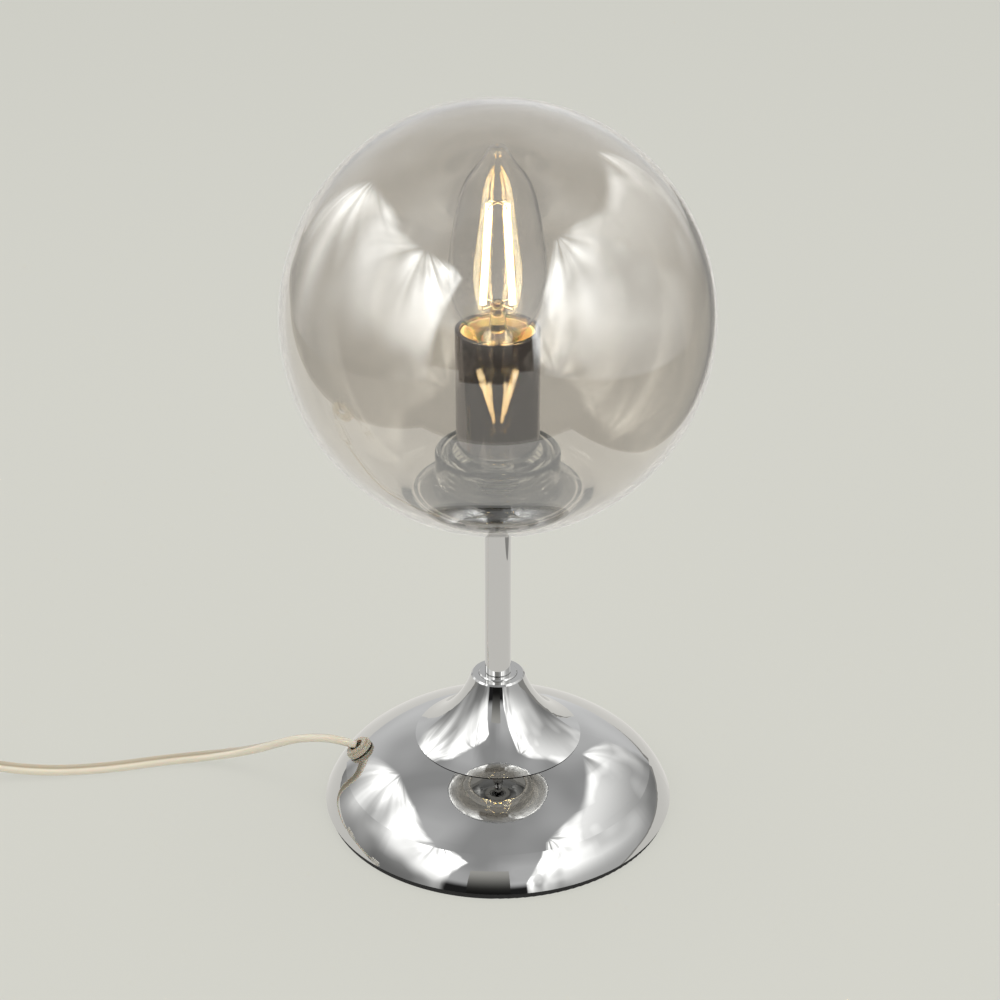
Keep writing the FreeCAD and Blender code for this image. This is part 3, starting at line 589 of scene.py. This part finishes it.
def sweep(name, line, section):
    """A tube of a flat section along line, with its width kept level."""
    bm = bmesh.new()
    layer = bm.verts.layers.float.new("core")
    rings, along = [], 0.0
    for i, p in enumerate(line):
        a = line[max(0, i - 1)]
        b = line[min(len(line) - 1, i + 1)]
        t = (b - a).normalized()
        if i:
            along += (p - line[i - 1]).length
        wide = Vector((0, 0, 1)).cross(t).normalized()
        high = t.cross(wide)
        roll = twist_at(along)
        w = wide * math.cos(roll) + high * math.sin(roll)
        h = high * math.cos(roll) - wide * math.sin(roll)
        ring = []
        for x, y in section:
            v = bm.verts.new(p + w * x + h * y)
            v[layer] = core_share(x / MM)
            ring.append(v)
        rings.append(ring)
    count = len(section)
    for r0, r1 in zip(rings, rings[1:]):
        for k in range(count):
            n = (k + 1) % count
            bm.faces.new((r0[k], r0[n], r1[n], r1[k]))
    bm.faces.new(list(reversed(rings[0])))
    bm.faces.new(rings[-1])
    return solid_from(name, bm, lambda poly: len(poly.vertices) == 4)


def tie_loop():
    """The strap's path in section, r and z, with rounded corners."""
    r_in = COIL_IN - CLIMB_INSET - CORD_W / 2 - TIE_GAP
    r_out = COIL_OUT + CORD_W / 2 + TIE_GAP
    top = COIL_BASE + CORD_T + LAYER_RISE + TIE_TOP_GAP
    corners = [(r_in, TIE_LOW), (r_out, TIE_LOW), (r_out, top), (r_in, top)]
    loop = []
    for i, (cr, cz) in enumerate(corners):
        mid_r = cr + TIE_BEND_R if cr == r_in else cr - TIE_BEND_R
        mid_z = cz + TIE_BEND_R if cz == TIE_LOW else cz - TIE_BEND_R
        for k in range(TIE_BEND_STEPS):
            a = math.radians(180 + 90 * i + 90 / (TIE_BEND_STEPS - 1) * k)
            loop.append((mid_r + TIE_BEND_R * math.cos(a), mid_z + TIE_BEND_R * math.sin(a)))
    return loop


def make_tie():
    """Soft strap round the turns, drawn close over both layers."""
    bm = bmesh.new()
    loop = tie_loop()
    half = TIE_W / 2
    rings = []
    for i, (r, z) in enumerate(loop):
        r0, z0 = loop[i - 1]
        r1, z1 = loop[(i + 1) % len(loop)]
        n = Vector((z1 - z0, -(r1 - r0)))
        n.normalize()
        ring = []
        for off, y in ((0, -half), (0, half), (-TIE_THICK, half), (-TIE_THICK, -half)):
            across, up = r + n.x * off, max(z + n.y * off, TIE_LEAST_Z)
            ring.append(bm.verts.new(Vector((COIL_X - across, COIL_CENTRE_Y + y, up)) * MM))
        rings.append(ring)
    for i, r0 in enumerate(rings):
        r1 = rings[(i + 1) % len(rings)]
        for k in range(4):
            n = (k + 1) % 4
            bm.faces.new((r0[k], r0[n], r1[n], r1[k]))
    obj = solid_from("tie_strap", bm, lambda poly: False)
    obj.data.materials.append(moulded("tie", (0.05, 0.05, 0.05), 0.7, grain=0.4))
    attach(obj, "lamp")
    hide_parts("coil_tie")
    return obj


def make_cord():
    line = nurbs_line("cord_line", cord_points())
    cord = sweep("mains_cord", line, cord_section())
    cord.data.materials.append(cord_material())
    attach(cord, "lamp")
    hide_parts("cord_run", "cord_coil")
    tie = make_tie()
    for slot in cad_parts["cord_tail"].material_slots:
        slot.material = cord.data.materials[0]


# ---- globe ------------------------------------------------------------------------------------
def arc_points(cr, cz, radius, a, b, steps):
    """Points of a section arc, angles in degrees from the outward horizontal."""
    out = []
    for i in range(steps + 1):
        t = math.radians(a + (b - a) * i / steps)
        out.append((max(0.0, cr + radius * math.cos(t)), cz + radius * math.sin(t)))
    return out


def globe_section():
    """One closed skin for the blown sphere with the neck fused into it."""
    big, mid = GLOBE_R / MM, GLOBE_Z / MM
    small = big - GLASS
    shelf_top = SHELF_Z + GLASS
    fold_deg = -math.degrees(math.acos(FOLD_R / big))
    root_deg = math.degrees(math.asin((shelf_top + ROOT_RISE - mid) / small))
    lip = (NECK_OUT - NECK_BORE) / 2
    pts = arc_points(0, mid, big, 90, fold_deg, SPHERE_STEPS)
    fold_z = pts[-1][1]
    # Round the fold to the underside of the shelf, and in to the bore.
    pts += [(FOLD_R + 0.05, fold_z + 0.9), (FOLD_R - 0.25, fold_z + 1.9),
            (FOLD_R - 0.75, SHELF_Z - 0.2), (FOLD_R - 1.4, SHELF_Z)]
    pts += [(NECK_BORE + 0.8, SHELF_Z), (NECK_BORE + 0.2, SHELF_Z + 0.25),
            (NECK_BORE, SHELF_Z + 0.9)]
    # Over the neck's rounded lip, and down its outside to the top of the shelf.
    pts += arc_points(NECK_BORE + lip, NECK_TOP - lip, lip, 180, 0, 12)
    pts += arc_points(NECK_OUT + ROOT_FILLET, shelf_top + ROOT_FILLET, ROOT_FILLET, 180, 270, 8)
    inner = arc_points(0, mid, small, root_deg, 90, SPHERE_STEPS)
    turn_r = inner[0][0]
    pts += [(turn_r - 3.4, shelf_top), (turn_r - 1.6, shelf_top + 0.25),
            (turn_r - 0.6, shelf_top + 0.9)]
    return pts + inner


def revolve(name, section, around):
    """Turns a section that starts and ends on the axis; each end becomes one point."""
    bm = bmesh.new()
    rings = []
    for r, z in section:
        if r < 1e-6:
            rings.append([bm.verts.new((0, 0, z * MM))] * around)
            continue
        rings.append([bm.verts.new((r * MM * math.cos(2 * math.pi * k / around),
                                    r * MM * math.sin(2 * math.pi * k / around), z * MM))
                      for k in range(around)])
    for r0, r1 in zip(rings, rings[1:]):
        for k in range(around):
            n = (k + 1) % around
            corners = []
            for v in (r0[k], r0[n], r1[n], r1[k]):
                if v not in corners:
                    corners.append(v)
            bm.faces.new(corners)
    return solid_from(name, bm, lambda poly: True)


def make_globe():
    skin = revolve("globe_skin", globe_section(), GLOBE_AROUND)
    skin.data.materials.append(SMOKE_GLASS)
    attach(skin, "globe")
    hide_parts("globe_glass", "globe_neck")


# ---- studio ----------------------------------------------------------------------------------
def plane(name, corners, mat, camera=True):
    mesh = bpy.data.meshes.new(name)
    mesh.from_pydata([Vector(c) for c in corners], [], [tuple(range(len(corners)))])
    obj = add_object(name, mesh)
    obj.data.materials.append(mat)
    obj.visible_camera = camera
    return obj


def seen_plain(tree, path):
    """1 where the camera looks, straight or through glass, and 0 in reflections."""
    direct = calc(tree, "LESS_THAN", (path, "Glossy Depth"), 0.5)
    through = calc(tree, "MULTIPLY", (path, "Is Transmission Ray"), (direct, "Value"))
    return calc(tree, "MAXIMUM", (path, "Is Camera Ray"), (through, "Value"))


def in_reflections(tree, path):
    """1 for a ray that left a polished surface, also once it has gone through glass."""
    after = calc(tree, "GREATER_THAN", (path, "Glossy Depth"), 0.5)
    return calc(tree, "MAXIMUM", (path, "Is Glossy Ray"), (after, "Value"))


def table_material(name, in_metal):
    """Pale floor: its own colour to the camera, and another strength in reflections."""
    mat, tree, out = new_material(name)
    path = node(tree, "ShaderNodeLightPath")
    cloth = node(tree, "ShaderNodeBsdfDiffuse")
    cloth.inputs["Color"].default_value = (*BACKGROUND, 1)
    part = mix_shader(tree, TABLE_DIFFUSE, glow_of(tree, BACKGROUND, 1.0), cloth)
    mirrored = glow_of(tree, (1.0, 0.98, 0.93), in_metal)
    look = mix_shader(tree, (in_reflections(tree, path), "Value"), part, mirrored)
    link(tree, look, "Shader", out, "Surface")
    return mat


def fold_fan(tree, split, clamp, folds, seed):
    """Brightness of cloth folds that spread from the clamp that holds the screen."""
    dy = calc(tree, "SUBTRACT", (split, "Y"), clamp[0])
    dz = calc(tree, "SUBTRACT", (split, "Z"), clamp[1])
    angle = calc(tree, "ARCTAN2", (dz, "Value"), (dy, "Value"))
    turn = calc(tree, "MULTIPLY_ADD", (angle, "Value"), folds, seed)
    rays = node(tree, "ShaderNodeTexNoise", noise_dimensions="1D")
    rays.inputs["Scale"].default_value = 1.0
    rays.inputs["Detail"].default_value = 2.0
    rays.inputs["Roughness"].default_value = 0.45
    link(tree, turn, "Value", rays, "W")
    reach = length_of(tree, (dy, "Value"), (dz, "Value"))
    depth = ramp_value(tree, reach, "Value", 1.0, 0.0, 0.05, 0.95, smooth=True)
    swing = ramp_value(tree, rays, "Fac", -0.75, 0.75, 0.32, 0.68)
    return calc(tree, "MULTIPLY", (swing, "Result"), (depth, "Result"))


def softbox_material(name, strength, clamps, seed):
    """A lit cloth screen: bright above, dim foot, folds spreading from its clamps."""
    mat, tree, out = new_material(name)
    tc, split = place_in(tree)
    foot = ramp_value(tree, split, "Z", SCREEN_FOOT, 1.0, 0.0, FOOT_TOP, smooth=True)
    slow = noise(tree, tc, 2.0, 1.0, "Object")
    level = ramp_value(tree, slow, "Fac", 0.45, 1.15, 0.35, 0.65)
    total = calc(tree, "MULTIPLY", (foot, "Result"), (level, "Result"))
    for i, (y, z, folds) in enumerate(clamps):
        fan = fold_fan(tree, split, (y, z), folds, seed + SEED_STEP * i)
        total = calc(tree, "MULTIPLY_ADD", (fan, "Value"), (total, "Value"), (total, "Value"))
    gain = calc(tree, "MULTIPLY", (total, "Value"), strength)
    glow = glow_of(tree, (1.0, 0.995, 0.98), (gain, "Value"))
    inside = node(tree, "ShaderNodeAttribute", attribute_name="inside")
    fade = ramp_value(tree, inside, "Fac", 0.0, 1.0, 0.0, SCREEN_SOFT, smooth=True)
    gone = node(tree, "ShaderNodeBsdfTransparent")
    link(tree, mix_shader(tree, (fade, "Result"), gone, glow), "Shader", out, "Surface")
    return mat


def make_world():
    """Camera sees the plain backdrop; metal and glass see a studio that is dark in front."""
    world = bpy.data.worlds.new("studio")
    bpy.context.scene.world = world
    world.use_nodes = True
    tree = world.node_tree
    tree.nodes.clear()
    out = tree.nodes.new("ShaderNodeOutputWorld")
    path = node(tree, "ShaderNodeLightPath")
    tc, split = place_in(tree, "Generated")
    # Back wall to ceiling with height; in front the room is dark below about 20 degrees.
    wall = ramp_value(tree, split, "Z", BACK_WALL, CEILING, 0.0, 0.50, smooth=True)
    high = ramp_value(tree, split, "Z", 0.0, 1.0, 0.20, 0.36, smooth=True)
    behind = ramp_value(tree, split, "Y", 0.0, 1.0, -0.25, 0.20, smooth=True)
    lit = calc(tree, "MAXIMUM", (high, "Result"), (behind, "Result"))
    patches = noise(tree, tc, 1.6, 1.0, "Generated")
    uneven = ramp_value(tree, patches, "Fac", 0.75, 1.25, 0.35, 0.65)
    varied = calc(tree, "MULTIPLY", (wall, "Result"), (uneven, "Result"))
    level = calc(tree, "MULTIPLY", (varied, "Value"), (lit, "Value"))
    least = calc(tree, "MAXIMUM", (level, "Value"), FRONT_DARK)
    kind = "ShaderNodeBackground"
    plain = glow_of(tree, BACKGROUND, 1.0, kind)
    studio = glow_of(tree, (1.0, 1.0, 1.0), (least, "Value"), kind)
    soft = glow_of(tree, (1.0, 0.99, 0.97), ROOM_FILL, kind)
    room = mix_shader(tree, (in_reflections(tree, path), "Value"), soft, studio)
    seen = mix_shader(tree, (seen_plain(tree, path), "Value"), room, plain)
    link(tree, seen, "Shader", out, "Surface")


def depth_inside(p, outline):
    """Distance from p to a closed outline, below zero outside it."""
    least, odd = 1e9, False
    for a, b in zip(outline, outline[1:] + outline[:1]):
        a, b = Vector(a), Vector(b)
        t = max(0.0, min(1.0, (p - a).dot(b - a) / (b - a).length_squared))
        least = min(least, (p - a - (b - a) * t).length)
        if (a.y > p.y) != (b.y > p.y) and p.x < (b.x - a.x) * (p.y - a.y) / (b.y - a.y) + a.x:
            odd = not odd
    return least if odd else -least


def screen(name, x, outline, mat):
    """A hanging screen in the plane at x, with how far each point lies inside its outline."""
    ys, zs = [y for y, z in outline], [z for y, z in outline]
    cols = int((max(ys) - min(ys)) / SCREEN_CELL) + 2
    rows = int((max(zs) - min(zs)) / SCREEN_CELL) + 2
    verts = [(x, min(ys) + i * SCREEN_CELL, min(zs) + j * SCREEN_CELL)
             for j in range(rows) for i in range(cols)]
    faces = [(j * cols + i, j * cols + i + 1, (j + 1) * cols + i + 1, (j + 1) * cols + i)
             for j in range(rows - 1) for i in range(cols - 1)]
    mesh = bpy.data.meshes.new(name)
    mesh.from_pydata(verts, [], faces)
    inside = mesh.attributes.new("inside", "FLOAT", "POINT")
    for value, (_, y, z) in zip(inside.data, verts):
        value.value = depth_inside(Vector((y, z)), outline)
    obj = add_object(name, mesh)
    obj.data.materials.append(mat)
    obj.visible_camera = False
    obj.visible_shadow = False


def make_floor():
    """The lit table, and the floor round it, in one plane with one look to the camera."""
    lit = table_material("table", TABLE_IN_METAL)
    rest = table_material("floor", FLOOR_IN_METAL)
    edge = [(x, y, 0) for x, y in TABLE_EDGE]
    near, mid, far = TABLE_EDGE[0][1], TABLE_EDGE[6][1], TABLE_EDGE[5][1]
    half = FLOOR_HALF
    plane("table_top", edge, lit)
    plane("floor_front", [(-half, -half, 0), (half, -half, 0), (half, near, 0),
                          (-half, near, 0)], rest)
    plane("floor_left", [(-half, near, 0), edge[0]] + edge[:5:-1] + [(-half, mid, 0)], rest)
    plane("floor_right", edge[1:6] + [(half, far, 0), (half, near, 0)], rest)
    plane("floor_back", [(-half, far, 0), (half, far, 0), (half, FLOOR_BACK, 0),
                         (-half, FLOOR_BACK, 0)], lit)


def make_gap():
    """A card that is dark at its foot, between the screens in front of the lamp."""
    mat, tree, out = new_material("dark_gap")
    _, split = place_in(tree)
    climb = ramp_value(tree, split, "Z", *GAP_POWER, GAP_DARK, GAP_TOP, smooth=True)
    glow = glow_of(tree, (1.0, 0.98, 0.92), (climb, "Result"))
    link(tree, glow, "Emission", out, "Surface")
    x0, x1 = GAP_X
    card = plane("dark_gap", [(x0, GAP_Y, GAP_LOW), (x1, GAP_Y, GAP_LOW), (x1, GAP_Y, GAP_TOP),
                              (x0, GAP_Y, GAP_TOP)], mat, camera=False)
    card.visible_shadow = False
    card.visible_diffuse = False


def make_studio():
    make_world()
    make_floor()
    make_gap()
    screen("screen_left", -SCREEN_X, LEFT_OUTLINE,
           softbox_material("left_screen", LEFT_POWER, LEFT_CLAMPS, LEFT_SEED))
    screen("screen_right", SCREEN_X, RIGHT_OUTLINE,
           softbox_material("right_screen", RIGHT_POWER, RIGHT_CLAMPS, RIGHT_SEED))


def make_lights():
    """Soft top light for shape and shadow, and the bulb's own warm light."""
    top = bpy.data.lights.new("top_soft", "AREA")
    top.shape = "RECTANGLE"
    top.size, top.size_y = TOP_SIZE
    top.energy = TOP_POWER
    above = add_object("top_soft", top)
    above.location = TOP_AT
    above.rotation_euler = (math.radians(TOP_TILT_DEG[0]), math.radians(TOP_TILT_DEG[1]), 0)
    glow = bpy.data.lights.new("bulb_glow", "POINT")
    glow.energy = BULB_POWER
    glow.color = BULB_COLOUR
    glow.shadow_soft_size = BULB_SOFT
    warm = add_object("bulb_glow", glow)
    warm.location = (0, 0, BULB_LOW[2] + BULB_RISE)
    for light in (above, warm):
        light.visible_camera = False
        light.visible_glossy = False
        light.visible_transmission = False


def make_camera():
    data = bpy.data.cameras.new("camera")
    data.sensor_width = SENSOR
    data.lens = SENSOR * CAMERA_FOCUS_PX / FRAME_PX
    data.clip_start = CLIP_START
    cam = add_object("camera", data)
    cam.location = CAMERA_AT
    cam.rotation_euler = (math.radians(90 - CAMERA_PITCH), 0, 0)
    bpy.context.scene.camera = cam


make_camera()
make_cord()
make_globe()
dress_nodes()
make_studio()
make_lights()
bpy.context.scene.view_settings.view_transform = "Standard"
